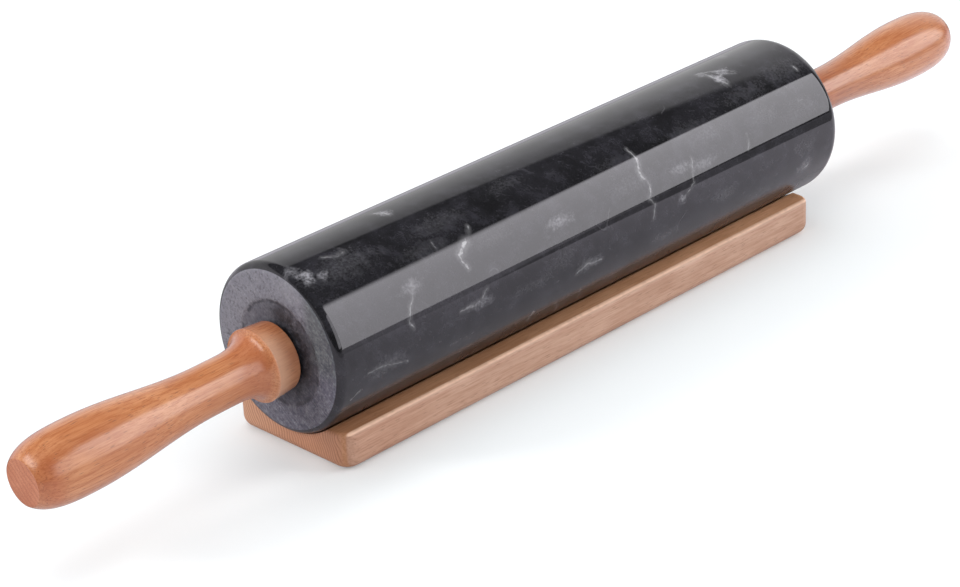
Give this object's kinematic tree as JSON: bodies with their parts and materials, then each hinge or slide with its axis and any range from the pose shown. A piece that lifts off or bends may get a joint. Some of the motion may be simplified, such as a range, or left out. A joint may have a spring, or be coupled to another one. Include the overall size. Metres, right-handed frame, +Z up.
{
  "type": "marble rolling pin on cradle",
  "caption": "Heavy black stone rolling pin with turned beech handles, lying in the shallow groove of a low beech cradle.",
  "frame": {"origin": "on the floor under the middle of the pin, which is also the middle of the whole object's box", "axes": "+X along the pin towards the handle that is farther away in the picture, +Z up"},
  "size_m": [0.4565, 0.0588, 0.0666],
  "materials": {
    "marble": "polished sides and edges, honed ends, black with grey clouds and white veins",
    "steel": "drawn rod",
    "lacquered_beech": "satin lacquer over turned beech",
    "brass": "turned",
    "nylon": "natural",
    "plain_beech": "sanded beech with a thin oil finish"
  },
  "bodies": {
    "cradle": {"cradle": "plain_beech"},
    "handles": {"axle": "steel", "near_handle": "lacquered_beech", "far_handle": "lacquered_beech", "near_insert": "brass", "far_insert": "brass", "near_washer": "nylon", "far_washer": "nylon"},
    "barrel": {"barrel": "marble"}
  },
  "joints": [
    {"name": "pin_lift", "type": "slide", "parent": "cradle", "child": "handles", "axis": [0, 0, 1], "range_m": [0, 0.08]},
    {"name": "barrel_spin", "type": "hinge", "parent": "handles", "child": "barrel", "pos_m": [0, 0, 0.03715], "axis": [1, 0, 0], "continuous": true}
  ]
}
